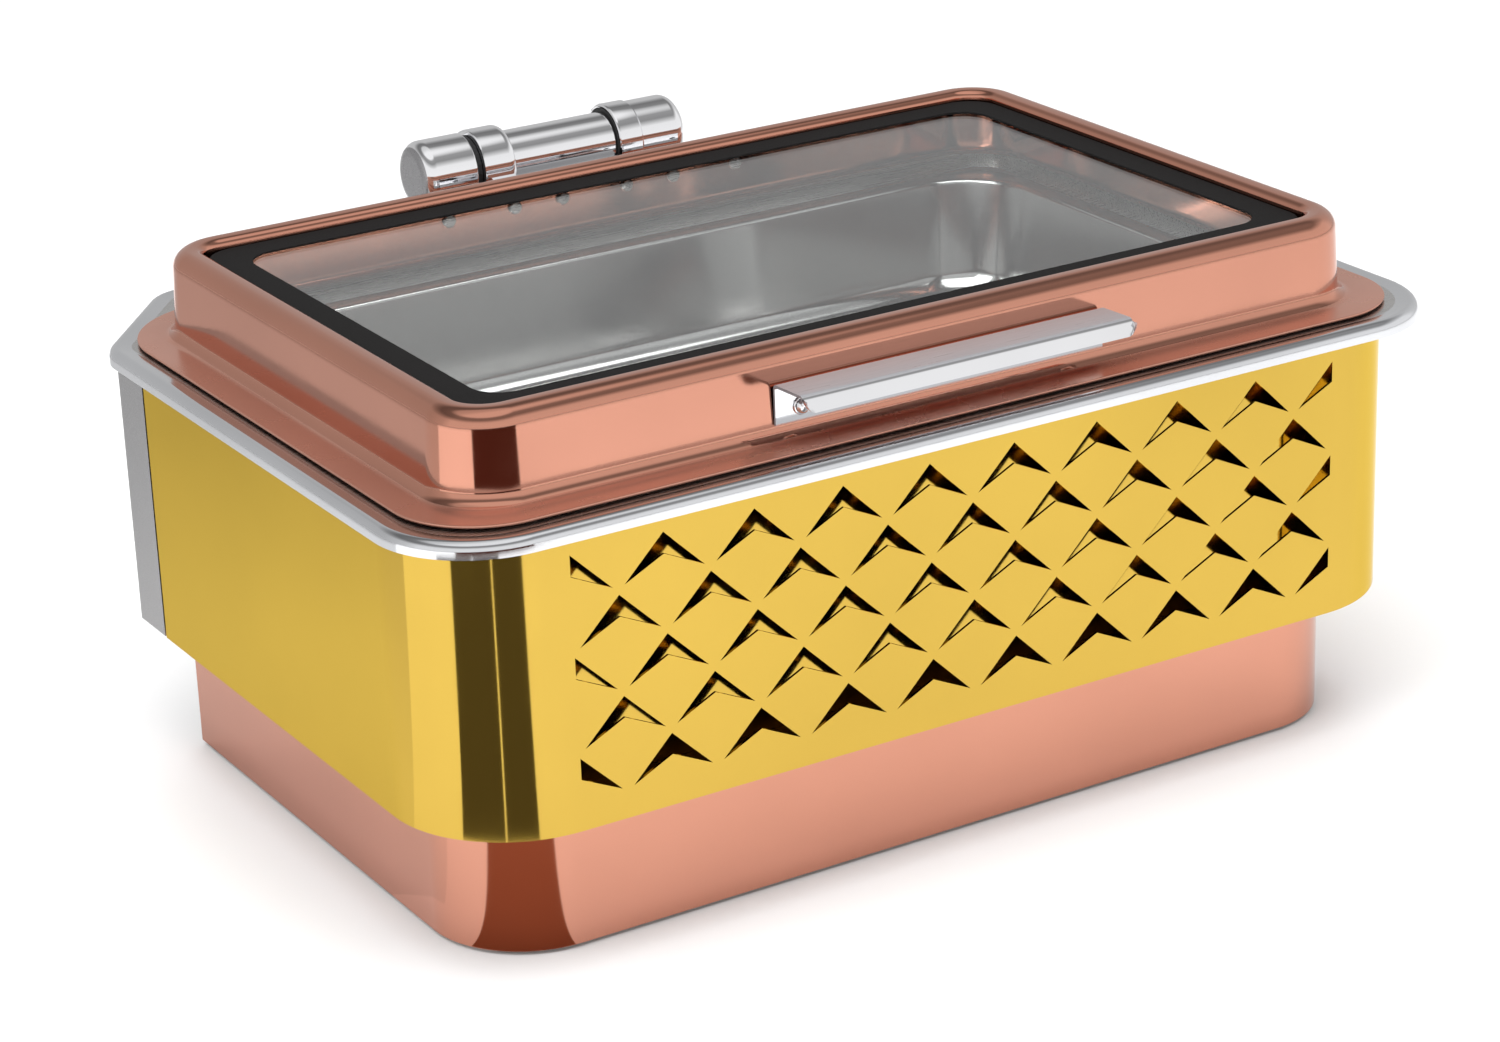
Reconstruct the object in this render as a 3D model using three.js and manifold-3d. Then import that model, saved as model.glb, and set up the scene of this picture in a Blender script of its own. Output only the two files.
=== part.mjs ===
// Roll top chafer: a stepped buffet warmer with a hinged glass-topped lid, a lattice-cut body
// skirt, a lower plinth, a lift-out food pan over a water pan, and two fuel cups.
// Millimetres. +X is to the right, the front faces -Y, +Z is up. The origin is the middle of the
// footprint, on the surface that the feet stand on.
import * as THREE from 'three';
import { mergeVertices } from 'three/addons/utils/BufferGeometryUtils.js';
import Module from 'manifold-3d';

const wasm = await Module();
wasm.setup();

// ---- driving dimensions -------------------------------------------------------------------
const WIDTH = 620;                 // over the rim frame
const DEPTH = 471;                 // front of the rim to the back of the hinge barrel
const SHEET = 1.5;                 // pressed and folded sheet
const GAP = 0.3;                   // clearance between pieces that rest on or pass each other
const CORNER_STEPS = 6;            // facets round a right-angled corner

const FOOT = { radius: 14, height: 2.5, x: 225, front: -160, rear: 105 };
const PLINTH = { x: 275, front: -197.2, rear: 141.4, corner: 55, top: 79.7, lip: 12 };
const SKIRT = { x: 299, front: -224.5, rear: 120, corner: 68, bottom: 78, top: 238.2 };
const REAR = { x: 298.7, front: 122.5, rear: 156.3, top: 230.4 };
const FLOOR_Z = 80;                // underside of the shelf that ties skirt and plinth together
const BURNER_HOLE = 85;            // radius of the shelf's two holes over the fuel cups

const LATTICE = { pitch: 51.25, rowPitch: 26.4, top: 222.1, rows: 5, half: 22.4, drop: 22, notch: 11.3 };
const BACKING = { x: 233, offset: 20, bottom: 84, top: 229 };

const RIM = { bottom: 232.9, shoulder: 236.3, bead: 5, deck: 240.3, deckInset: 12 };
const RIM_REAR_Y = 218.5;          // back edge of the rim's deck
const RIM_SIDE_Y = 142.3;          // where the rear chamfers leave the sides
const RIM_REAR_X = 247.4;          // where the rear chamfers meet the back edge

const PAN_Y = -20.25;              // front-to-back middle of the pans and of the lid
const WELL = { x: 281, y: 182, corner: 30, ledge: 232.2, ledgeWidth: 19 };
const WATER = { x: 269.5, y: 169.5, wallInset: 11.5, top: 233.7, bottom: 137.8, sheet: 1.2 };
const FOOD = { x: 265, y: 162.5, wallInset: 12.5, top: 238.2, depth: 65, sheet: 1 };

const LID = { x: 295.5, y: 199.25, flangeCorner: 48, flangeRearCorner: 60, flangeTop: 243,
  wallInset: 22, wallCorner: 34, crest: 289.5, ledge: 279.5, hole: 41 };
const GLASS = { inset: 46.5, bottom: 279.8, top: 282.8, corner: 18.9 };
const BORDER = { inset: 41.4, inner: 59.5, top: 284.3, innerCorner: 17.7 };

const HANDLE = { half: 99, bottom: 250.6, top: 271.5, reach: 26.5, rise: 1.3, lip: 8, lipOut: 3.2 };
const HANDLE_SCREW = { x: 84, z: 258.5 };

const HINGE_R = 21.5;              // largest radius of the hinge barrel
const HINGE_Y = DEPTH / 2 - HINGE_R;
const HINGE_Z = 278.5;
const BARREL = { half: 86.6, knuckle: 53.5, knuckleR: 20.5, tubeR: 17, tubeBore: 14, shaftR: 6 };
const LEAF = { half: 102, bottom: 255.5, top: 277, thick: 4 };
const LEAF_SCREW_X = [-94, -52, -21, 21, 52, 94];
const LEAF_SCREW_Z = 266.5;

const CUP = { x: 135, y: -25, radius: 46, height: 50, sheet: 1.5, pin: 52 };

// ---- finishes ------------------------------------------------------------------------------
const finish = (color, roughness, metalness, extra = {}) =>
  new THREE.MeshStandardMaterial({ color, roughness, metalness, ...extra });
const GOLD = finish(0xe6c055, 0.12, 1);
const ROSE = finish(0xc98770, 0.14, 1);
const POLISHED = finish(0xd5d6d8, 0.12, 1);
const BRUSHED = finish(0xaeaba7, 0.35, 1);
const CHROME = finish(0xdcdde0, 0.06, 1);
const BLACK_SEAL = finish(0x262525, 0.75, 0);
const RUBBER = finish(0x1b1b1b, 0.9, 0);
const CLEAR = finish(0xe8ecee, 0.04, 0, { transparent: true, opacity: 0.3 });
const DARK_PLASTIC = finish(0x2a2a2b, 0.5, 0);

// ---- geometry helpers ------------------------------------------------------------------------
function solid(geometry) {
  const bare = new THREE.BufferGeometry();
  bare.setAttribute('position', geometry.getAttribute('position').clone());
  if (geometry.index) bare.setIndex(geometry.index.clone());
  const merged = mergeVertices(bare, 1e-4);
  const index = merged.index.array;
  const kept = [];
  for (let i = 0; i < index.length; i += 3) {
    const [a, b, c] = index.slice(i, i + 3);
    if (a !== b && b !== c && c !== a) kept.push(a, b, c);
  }
  const mesh = new wasm.Mesh({
    numProp: 3,
    vertProperties: Float32Array.from(merged.getAttribute('position').array),
    triVerts: Uint32Array.from(kept),
  });
  return new wasm.Manifold(mesh);
}

function toGeometry(manifold) {
  const mesh = manifold.getMesh();
  const geometry = new THREE.BufferGeometry();
  geometry.setAttribute('position', new THREE.BufferAttribute(mesh.vertProperties, 3));
  geometry.setIndex(new THREE.BufferAttribute(mesh.triVerts, 1));
  geometry.computeVertexNormals();
  return geometry;
}

// Points along an arc in a plane, from angle a0 to a1 in degrees.
function arc(cx, cy, r, a0, a1, steps) {
  return Array.from({ length: steps + 1 }, (_, i) => {
    const a = THREE.MathUtils.degToRad(a0 + (a1 - a0) * i / steps);
    return [cx + r * Math.cos(a), cy + r * Math.sin(a)];
  });
}

// A convex outline with rounded corners, counter-clockwise. Each corner is { x, y, r, steps }.
// Every side moves in by `inset`, and `radius` gives each corner's own radius there.
function outline(corners, inset = 0, radius = (corner) => Math.max(corner.r - inset, 1)) {
  const count = corners.length;
  const sides = corners.map((a, i) => {
    const b = corners[(i + 1) % count];
    const length = Math.hypot(b.x - a.x, b.y - a.y);
    const dir = [(b.x - a.x) / length, (b.y - a.y) / length];
    return { dir, at: [a.x - dir[1] * inset, a.y + dir[0] * inset] };
  });
  const points = [];
  corners.forEach((corner, i) => {
    const from = sides[(i + count - 1) % count];
    const to = sides[i];
    const cross = from.dir[0] * to.dir[1] - from.dir[1] * to.dir[0];
    const dx = to.at[0] - from.at[0];
    const dy = to.at[1] - from.at[1];
    const along = (dx * to.dir[1] - dy * to.dir[0]) / cross;
    const vertex = [from.at[0] + from.dir[0] * along, from.at[1] + from.dir[1] * along];
    const turn = Math.atan2(cross, from.dir[0] * to.dir[0] + from.dir[1] * to.dir[1]);
    const r = radius(corner);
    const tangent = r * Math.tan(turn / 2);
    const cx = vertex[0] - from.dir[0] * tangent - from.dir[1] * r;
    const cy = vertex[1] - from.dir[1] * tangent + from.dir[0] * r;
    const start = THREE.MathUtils.radToDeg(Math.atan2(-from.dir[0], from.dir[1]));
    const sweep = THREE.MathUtils.radToDeg(turn);
    points.push(...arc(cx, cy, r, start, start + sweep, corner.steps));
  });
  return points;
}

function rectangle(x, y0, y1, r, rearR = r, steps = CORNER_STEPS) {
  return [
    { x: -x, y: y0, r, steps },
    { x, y: y0, r, steps },
    { x, y: y1, r: rearR, steps },
    { x: -x, y: y1, r: rearR, steps },
  ];
}

// A skin through a stack of equal-length rings, capped at both ends, or joined up into a hoop.
function skin(rings, hoop = false) {
  const size = rings[0].length;
  const positions = rings.flat(2);
  const index = [];
  const spans = hoop ? rings.length : rings.length - 1;
  for (let j = 0; j < spans; j += 1) {
    const low = j * size;
    const high = ((j + 1) % rings.length) * size;
    for (let i = 0; i < size; i += 1) {
      const next = (i + 1) % size;
      index.push(low + i, low + next, high + next, low + i, high + next, high + i);
    }
  }
  if (!hoop) {
    const last = (rings.length - 1) * size;
    for (let i = 1; i < size - 1; i += 1) {
      index.push(0, i + 1, i, last, last + i, last + i + 1);
    }
  }
  const geometry = new THREE.BufferGeometry();
  geometry.setAttribute('position', new THREE.Float32BufferAttribute(positions, 3));
  geometry.setIndex(index);
  return solid(geometry);
}

// Rings of one outline at each [inset, z] of a profile.
function rings(corners, profile, radius) {
  return profile.map(([inset, z]) => {
    const rule = radius ? (corner) => radius(inset, corner) : undefined;
    return outline(corners, inset, rule).map(([x, y]) => [x, y, z]);
  });
}

const prism = (corners, z0, z1, inset = 0) => skin(rings(corners, [[inset, z0], [inset, z1]]));

function box(x0, x1, y0, y1, z0, z1) {
  const geometry = new THREE.BoxGeometry(x1 - x0, y1 - y0, z1 - z0);
  return solid(geometry.translate((x0 + x1) / 2, (y0 + y1) / 2, (z0 + z1) / 2));
}

// A flat outline pushed along an axis. `basis` holds the directions of the outline's own x and
// y and of the push.
function extrude(points, start, end, basis) {
  const shape = new THREE.Shape(points.map(([x, y]) => new THREE.Vector2(x, y)));
  const geometry = new THREE.ExtrudeGeometry(shape, { depth: end - start, bevelEnabled: false });
  geometry.translate(0, 0, start);
  return solid(geometry.applyMatrix4(new THREE.Matrix4().makeBasis(...basis)));
}
const X = new THREE.Vector3(1, 0, 0);
const Y = new THREE.Vector3(0, 1, 0);
const Z = new THREE.Vector3(0, 0, 1);
const alongX = (points, x0, x1) => extrude(points, x0, x1, [Y, Z, X]);
const backward = (points, y0, y1) => extrude(points, -y1, -y0, [X, Z, Y.clone().negate()]);

// A turned piece. Its profile is [radius, distance along the axis] and the axis is X, Y or Z.
function turned(profile, axis, steps = 20) {
  const lathe = new THREE.LatheGeometry(profile.map(([r, h]) => new THREE.Vector2(r, h)), steps);
  if (axis === 'X') lathe.rotateZ(-Math.PI / 2);
  if (axis === 'Z') lathe.rotateX(Math.PI / 2);
  return lathe;
}
const rod = (r, h0, h1, axis, steps) => turned([[0, h0], [r, h0], [r, h1], [0, h1]], axis, steps);
const sleeve = (r, bore, h0, h1, axis, steps) =>
  turned([[bore, h0], [r, h0], [r, h1], [bore, h1], [bore, h0]], axis, steps);
const at = (geometry, x, y, z) => solid(geometry.translate(x, y, z));

const chafer = new THREE.Group();
function piece(name, manifold, material, parent = chafer) {
  const mesh = new THREE.Mesh(toGeometry(manifold), material);
  mesh.name = name;
  parent.add(mesh);
  return mesh;
}

// ---- plinth, base plate and feet ---------------------------------------------------------------
function buildPlinth() {
  const shape = rectangle(PLINTH.x, PLINTH.front, PLINTH.rear, PLINTH.corner, 2);
  const wall = prism(shape, FOOT.height, PLINTH.top);
  const hollow = prism(shape, 0, PLINTH.top + 1, SHEET);
  const mouth = PLINTH.x - PLINTH.lip;
  const rearMouth = box(-mouth, mouth, PLINTH.rear - 10, PLINTH.rear + 5, 0, PLINTH.top + 1);
  piece('plinth_skirt', wall.subtract(hollow).subtract(rearMouth), ROSE);
  const plate = prism(shape, FOOT.height, FOOT.height + SHEET, SHEET + GAP);
  piece('base_plate', plate, BRUSHED);
  for (const [side, x] of [['left', -FOOT.x], ['right', FOOT.x]]) {
    for (const [end, y] of [['front', FOOT.front], ['rear', FOOT.rear]]) {
      piece(`foot_${end}_${side}`, at(rod(FOOT.radius, 0, FOOT.height, 'Z', 20), x, y, 0), RUBBER);
    }
  }
}

// ---- body skirt with its cut lattice -------------------------------------------------------------
// One opening of the lattice: an arrowhead with its point up. `sides` is 0 for a whole one,
// or -1 or 1 for the half that lies on that side of its middle line.
function arrowhead(x, z, sides) {
  const { half, drop, notch } = LATTICE;
  const left = [x - half, z - drop];
  const right = [x + half, z - drop];
  const points = [[x, z]];
  if (sides <= 0) points.push(left);
  points.push([x, z - notch]);
  if (sides >= 0) points.push(right);
  return backward(points, SKIRT.front - 2, SKIRT.front + SHEET + 2);
}

function latticeCuts() {
  const cuts = [];
  for (let row = 0; row < LATTICE.rows; row += 1) {
    const z = LATTICE.top - row * LATTICE.rowPitch;
    const wide = row % 2 === 0;
    const count = wide ? 8 : 9;
    for (let i = 0; i < count; i += 1) {
      cuts.push(arrowhead((i - (count - 1) / 2) * LATTICE.pitch, z, 0));
    }
    if (wide) {
      const edge = (count + 1) / 2 * LATTICE.pitch;
      cuts.push(arrowhead(-edge, z, 1), arrowhead(edge, z, -1));
    }
  }
  return cuts.reduce((all, cut) => all.add(cut));
}

function buildBody() {
  const skirt = rectangle(SKIRT.x, SKIRT.front, SKIRT.rear + 60, SKIRT.corner, 2);
  const wall = prism(skirt, SKIRT.bottom, SKIRT.top);
  const hollow = prism(skirt, SKIRT.bottom - 1, SKIRT.top + 1, SHEET);
  const behind = box(-WIDTH, WIDTH, SKIRT.rear, SKIRT.rear + 100, 0, SKIRT.top + 1);
  const shell = wall.subtract(hollow).subtract(behind).subtract(latticeCuts());
  piece('body_skirt', shell, GOLD);

  const face = SKIRT.front + SHEET + BACKING.offset;
  const front = SKIRT.front + SHEET + GAP;
  const channel = box(-BACKING.x, BACKING.x, front, face + SHEET, BACKING.bottom, BACKING.top);
  const inside = BACKING.x - SHEET;
  const room = box(-inside, inside, front - 1, face, BACKING.bottom - 1, BACKING.top + 1);
  piece('lattice_backing', channel.subtract(room), GOLD);

  const panel = rectangle(REAR.x, REAR.front - 20, REAR.rear, 2);
  const closed = prism(panel, SKIRT.bottom, REAR.top);
  const inner = prism(panel, SKIRT.bottom - 1, REAR.top + 1, SHEET);
  const ahead = box(-WIDTH, WIDTH, REAR.front - 40, REAR.front, 0, REAR.top + 1);
  piece('rear_panel', closed.subtract(inner).subtract(ahead), BRUSHED);

  const inset = SHEET + GAP;
  const floor = rectangle(SKIRT.x - inset, SKIRT.front + inset, REAR.rear - inset,
    SKIRT.corner - inset, 3);
  const burners = [-CUP.x, CUP.x].map((x) =>
    at(rod(BURNER_HOLE, FLOOR_Z - 1, FLOOR_Z + SHEET + 1, 'Z', 32), x, CUP.y, 0));
  const shelf = prism(floor, FLOOR_Z, FLOOR_Z + SHEET);
  piece('body_shelf', shelf.subtract(burners[0]).subtract(burners[1]), BRUSHED);
}

// ---- rim frame: beaded skirt, flat deck and the well that holds the pans ----------------------------
function rimCorners() {
  const front = -DEPTH / 2;
  const x = WIDTH / 2;
  const chamfer = { steps: 4 };
  return [
    { x: -x, y: front, r: 56, steps: CORNER_STEPS },
    { x, y: front, r: 56, steps: CORNER_STEPS },
    { x, y: RIM_SIDE_Y, r: 34, ...chamfer },
    { x: RIM_REAR_X, y: RIM_REAR_Y, r: 28, ...chamfer },
    { x: -RIM_REAR_X, y: RIM_REAR_Y, r: 28, ...chamfer },
    { x: -x, y: RIM_SIDE_Y, r: 34, ...chamfer },
  ];
}

// The rim's section outside (offset 0) or inside (offset one sheet), from the skirt's lower edge
// over the bead and down to the deck.
function rimSection(offset, bottom) {
  const { bead, shoulder, deck, deckInset } = RIM;
  const over = arc(bead, shoulder, bead - offset, 180, 80, 4);
  return [[offset, bottom], ...over, [deckInset, deck - offset]];
}

function buildRim() {
  const corners = rimCorners();
  const outer = skin(rings(corners, rimSection(0, RIM.bottom)));
  const under = skin(rings(corners, rimSection(SHEET, RIM.bottom - 1)));
  const well = rectangle(WELL.x, PAN_Y - WELL.y, PAN_Y + WELL.y, WELL.corner);
  const mouth = prism(well, RIM.bottom - 5, RIM.deck + 5);
  const drop = skin(rings(well, [
    [-SHEET, WELL.ledge - SHEET],
    [-SHEET, RIM.deck - SHEET / 2],
    [0, RIM.deck - SHEET / 2],
    [0, WELL.ledge],
    [WELL.ledgeWidth, WELL.ledge],
    [WELL.ledgeWidth, WELL.ledge - SHEET],
  ]), true);
  let rim = outer.subtract(under).subtract(mouth).add(drop);
  for (const { x, y } of pedestalScrews()) {
    rim = rim.subtract(at(rod(2.6, RIM.deck - 4, RIM.deck + 2, 'Z', 12), x, y, 0));
  }
  piece('rim_frame', rim, POLISHED);
}

// ---- pans -----------------------------------------------------------------------------------------
// A pan's section from the middle of its underside, out and up to the flange, and back down
// inside. `side` is the wall's lean from top to bottom.
function panSection({ wallInset, top, bottom, sheet, lip, side, round }) {
  const wallFoot = wallInset + side;
  const low = bottom + round;
  const outside = arc(wallFoot - sheet + round, low, round, 270, 180, 4);
  const inside = arc(wallFoot + round - sheet, low, round - sheet, 180, 270, 4);
  const hem = lip > sheet ? [[sheet, top - sheet], [sheet, top - lip]] : [];
  return [
    ...outside,
    [wallInset - sheet, top - sheet - 2.5],
    [wallInset - sheet - 1.5, top - sheet],
    ...hem,
    [0, top - lip],
    [0, top - 0.4],
    [0.4, top],
    [wallInset - 1.5, top],
    [wallInset, top - 2.5],
    ...inside,
  ];
}

function buildPans() {
  const water = rectangle(WATER.x, PAN_Y - WATER.y, PAN_Y + WATER.y, 25);
  const waterSection = panSection({ ...WATER, lip: WATER.sheet, side: 8, round: 16 });
  const waterRadius = (inset) => (inset < 2 ? 25 : 34 - Math.max(inset - WATER.wallInset, 0) * 0.4);
  piece('water_pan', skin(rings(water, waterSection, waterRadius)), BRUSHED);

  const food = rectangle(FOOD.x, PAN_Y - FOOD.y, PAN_Y + FOOD.y, 18);
  const bottom = FOOD.top - FOOD.depth - FOOD.sheet;
  const foodSection = panSection({ ...FOOD, bottom, lip: 4.2, side: 8.5, round: 14 });
  const foodRadius = (inset) => (inset < 2 ? 18 : 42 - Math.max(inset - FOOD.wallInset, 0) * 0.4);
  piece('food_pan', skin(rings(food, foodSection, foodRadius)), BRUSHED);
}

// ---- lid ------------------------------------------------------------------------------------------
const lid = new THREE.Group();
chafer.add(lid);

const lidCorners = (r, rearR = r) => rectangle(LID.x, PAN_Y - LID.y, PAN_Y + LID.y, r, rearR);

// The corner radius eases from each flange corner's own to the wall's, then shrinks inward.
function lidRadius(inset, corner) {
  const share = Math.min(inset / LID.wallInset, 1);
  const beyond = Math.max(inset - LID.wallInset, 0);
  return Math.max(corner.r + (LID.wallCorner - corner.r) * share - beyond, 8);
}

// The lid's outer section: flange, fillet, leaning wall, round shoulder, crest and the drop to
// the glass. An offset of one sheet gives the inside.
function lidSection(offset) {
  const fillet = 5;
  const shoulder = 9.5;
  const { flangeTop, wallInset, crest, ledge, hole } = LID;
  const shoulderAt = wallInset + 1.5 + shoulder;
  return [
    [0, flangeTop - offset],
    ...arc(wallInset - fillet, flangeTop + fillet, fillet + offset, 270, 360, 3),
    ...arc(shoulderAt, crest - shoulder, shoulder - offset, 180, 90, 4),
    [hole - 2.5 - offset, crest - 0.7 - offset],
    [hole - 0.4 - offset, crest - 2.6 - offset],
    [hole - offset, ledge - offset],
    [hole + 9, ledge - offset],
  ];
}

function buildLid() {
  const outside = lidSection(0);
  const inside = lidSection(SHEET).reverse();
  const corners = lidCorners(LID.flangeCorner, LID.flangeRearCorner);
  let shell = skin(rings(corners, [...outside, ...inside], lidRadius), true);
  const wallFront = PAN_Y - LID.y + LID.wallInset;
  const wallRear = PAN_Y + LID.y - LID.wallInset;
  for (const x of [-HANDLE_SCREW.x, HANDLE_SCREW.x]) {
    shell = shell.subtract(at(rod(2.3, -8, 8, 'Y', 12), x, wallFront, HANDLE_SCREW.z));
  }
  for (const x of LEAF_SCREW_X) {
    shell = shell.subtract(at(rod(2.3, -8, 8, 'Y', 12), x, wallRear, LEAF_SCREW_Z));
  }
  piece('lid_shell', shell, ROSE, lid);

  const pane = rings(lidCorners(0), [[GLASS.inset, GLASS.bottom], [GLASS.inset, GLASS.top]],
    () => GLASS.corner);
  piece('window_glass', skin(pane), CLEAR, lid);

  const over = GLASS.top + GAP;
  const past = GLASS.inset - GAP;
  const sealSection = [
    [BORDER.inset, GLASS.bottom],
    [BORDER.inset, BORDER.top - 0.4],
    [BORDER.inset + 0.4, BORDER.top],
    [BORDER.inner, BORDER.top],
    [BORDER.inner, over],
    [past, over],
    [past, GLASS.bottom],
  ];
  const sealRadius = (inset) => {
    const share = (inset - BORDER.inset) / (BORDER.inner - BORDER.inset);
    return 19.8 + (BORDER.innerCorner - 19.8) * share;
  };
  piece('window_seal', skin(rings(lidCorners(0), sealSection, sealRadius), true), BLACK_SEAL, lid);
}

// ---- handle: folded sheet with a back plate, a forward hood and a turned-down lip --------------------
function thicken(path, thick) {
  const left = [];
  const right = [];
  path.forEach(([y, z], i) => {
    const before = path[Math.max(i - 1, 0)];
    const after = path[Math.min(i + 1, path.length - 1)];
    const length = Math.hypot(after[0] - before[0], after[1] - before[1]);
    const normal = [-(after[1] - before[1]) / length, (after[0] - before[0]) / length];
    left.push([y + normal[0] * thick / 2, z + normal[1] * thick / 2]);
    right.push([y - normal[0] * thick / 2, z - normal[1] * thick / 2]);
  });
  return [...left, ...right.reverse()];
}

function buildHandle() {
  const plateY = PAN_Y - LID.y + LID.wallInset - GAP - SHEET / 2;
  const creaseY = plateY - HANDLE.reach;
  const creaseZ = HANDLE.top + HANDLE.rise;
  const path = [
    [plateY, HANDLE.bottom],
    ...arc(plateY - 2, HANDLE.top - 2, 2, 0, 75, 3),
    ...arc(creaseY + 3, creaseZ - 3.4, 3, 95, 165, 4),
    [creaseY - HANDLE.lipOut, creaseZ - HANDLE.lip],
  ];
  let handle = alongX(thicken(path, SHEET).reverse(), -HANDLE.half, HANDLE.half);
  const round = 7;
  for (const side of [-1, 1]) {
    const x = side * HANDLE.half;
    const z = creaseZ - HANDLE.lip - 1;
    const inner = x - side * round;
    const corner = box(Math.min(x, inner) - 1, Math.max(x, inner) + 1, creaseY - 8, creaseY + 6,
      z - 1, z + round);
    const keep = at(rod(round, creaseY - 9, creaseY + 7, 'Y', 24), inner, 0, z + round);
    const beside = box(Math.min(inner, inner - side * 3), Math.max(inner, inner - side * 3),
      creaseY - 9, creaseY + 7, z - 2, z + round + 1);
    handle = handle.subtract(corner.subtract(keep).subtract(beside));
    handle = handle.subtract(at(rod(2.3, -6, 6, 'Y', 12), side * HANDLE_SCREW.x, plateY, HANDLE_SCREW.z));
  }
  piece('lid_handle', handle, CHROME, lid);

  const face = plateY - SHEET / 2;
  const inside = PAN_Y - LID.y + LID.wallInset + SHEET + 1;
  for (const [name, x] of [['left', -HANDLE_SCREW.x], ['right', HANDLE_SCREW.x]]) {
    const washer = sleeve(4.8, 2.4, face - GAP - 0.9, face - GAP, 'Y', 14);
    piece(`handle_washer_${name}`, at(washer, x, 0, HANDLE_SCREW.z), CHROME, lid);
    const seat = face - GAP - 0.9 - GAP;
    const tip = inside + 5;
    const screw = turned([[0, seat - 2.4], [2.4, seat - 2.4], [3.7, seat - 1.2], [3.7, seat],
      [2, seat], [2, tip], [0, tip]], 'Y', 12);
    piece(`handle_screw_${name}`, at(screw, x, 0, HANDLE_SCREW.z), CHROME, lid);
    const nut = sleeve(4.2, 2.3, inside, inside + 3.2, 'Y', 6);
    piece(`handle_nut_${name}`, at(nut, x, 0, HANDLE_SCREW.z), BRUSHED, lid);
  }
}

// ---- hinge -----------------------------------------------------------------------------------------
function pedestalScrews() {
  return [-78, -62, 62, 78].map((x) => ({ x, y: HINGE_Y - 24 }));
}

// The arm of a fixed knuckle, from its foot on the deck up to the barrel.
function pedestal(x0, x1) {
  const base = RIM.deck + GAP - HINGE_Z;
  const points = [[-33, base], [-10.5, base], [-10.5, base + 7], [-6, -26.5], [7, -17], [0, 0],
    [-19, -6], [-25, -18], [-33, base + 6]];
  return alongX(points.map(([y, z]) => [y + HINGE_Y, z + HINGE_Z]), x0, x1);
}

function drillPedestal(knuckle, side) {
  let drilled = knuckle;
  for (const { x, y } of pedestalScrews().filter((screw) => Math.sign(screw.x) === side)) {
    drilled = drilled.subtract(at(rod(2.3, RIM.deck - 1, RIM.deck + 6.5, 'Z', 12), x, y, 0));
  }
  return drilled;
}

function buildHingeBarrel() {
  const place = (geometry) => at(geometry, 0, HINGE_Y, HINGE_Z);
  const { half, knuckle, knuckleR, tubeR, tubeBore, shaftR } = BARREL;
  const bore = shaftR + GAP;
  const end = 8;
  const leftProfile = [
    [0, -half],
    ...arc(knuckleR - end, -half + end, end, 270, 360, 4),
    [knuckleR, -knuckle - 0.8],
    [knuckleR - 0.8, -knuckle],
    [bore, -knuckle],
    [bore, -half + 4],
    [0, -half + 4],
  ];
  const clearShaft = place(rod(bore, -half + 4, half - 4, 'X', 24));
  const leftBody = place(turned(leftProfile, 'X', 24)).add(pedestal(-half + 4, -knuckle - 2));
  piece('hinge_knuckle_left', drillPedestal(leftBody.subtract(clearShaft), -1), CHROME);

  const ringEnd = 55.2;
  const hood = HINGE_R - 1.9;
  const ringProfile = [
    [bore, 43.5], [hood, 43.5], [hood, 40.5], [HINGE_R - 0.8, 40.5], [HINGE_R, 41.5],
    [HINGE_R, ringEnd - 0.6], [HINGE_R - 0.6, ringEnd], [bore, ringEnd], [bore, 43.5],
  ];
  const foot = pedestal(44, half - 2).subtract(
    at(rod(HINGE_R + GAP, ringEnd, half + 1, 'X', 24), 0, HINGE_Y, HINGE_Z));
  const rightBody = place(turned(ringProfile, 'X', 24)).add(foot).subtract(clearShaft);
  piece('hinge_knuckle_right', drillPedestal(rightBody, 1), CHROME);

  const capStart = ringEnd + GAP;
  const capProfile = [
    [bore, capStart],
    [knuckleR, capStart],
    ...arc(knuckleR - end, half - end, end, 0, 90, 4),
    [0, half],
    [0, half - 4],
    [bore, half - 4],
    [bore, capStart],
  ];
  piece('hinge_cap_right', place(turned(capProfile, 'X', 24)), CHROME);
  piece('hinge_shaft', place(rod(shaftR, -half + 5, half - 5, 'X', 20)), BRUSHED);

  const tubeStart = -46.5;
  const tubeEnd = 39.7;
  piece('hinge_tube', place(sleeve(tubeR, tubeBore, tubeStart, tubeEnd, 'X', 24)), CHROME, lid);
  const fit = tubeBore - GAP;
  const leftBush = [[bore, -53.2], [18.4, -53.2], [18.4, -49.8], [fit, -49.8], [fit, -36],
    [bore, -36], [bore, -53.2]];
  piece('hinge_bush_left', place(turned(leftBush, 'X', 20)), DARK_PLASTIC, lid);
  const rightBush = [[bore, 30], [fit, 30], [fit, 40], [hood - GAP, 40], [hood - GAP, 43.2],
    [bore, 43.2], [bore, 30]];
  piece('hinge_bush_right', place(turned(rightBush, 'X', 20)), DARK_PLASTIC, lid);
  piece('hinge_damper', place(sleeve(fit, bore, -34, 28, 'X', 20)), BRUSHED, lid);
}

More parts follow.
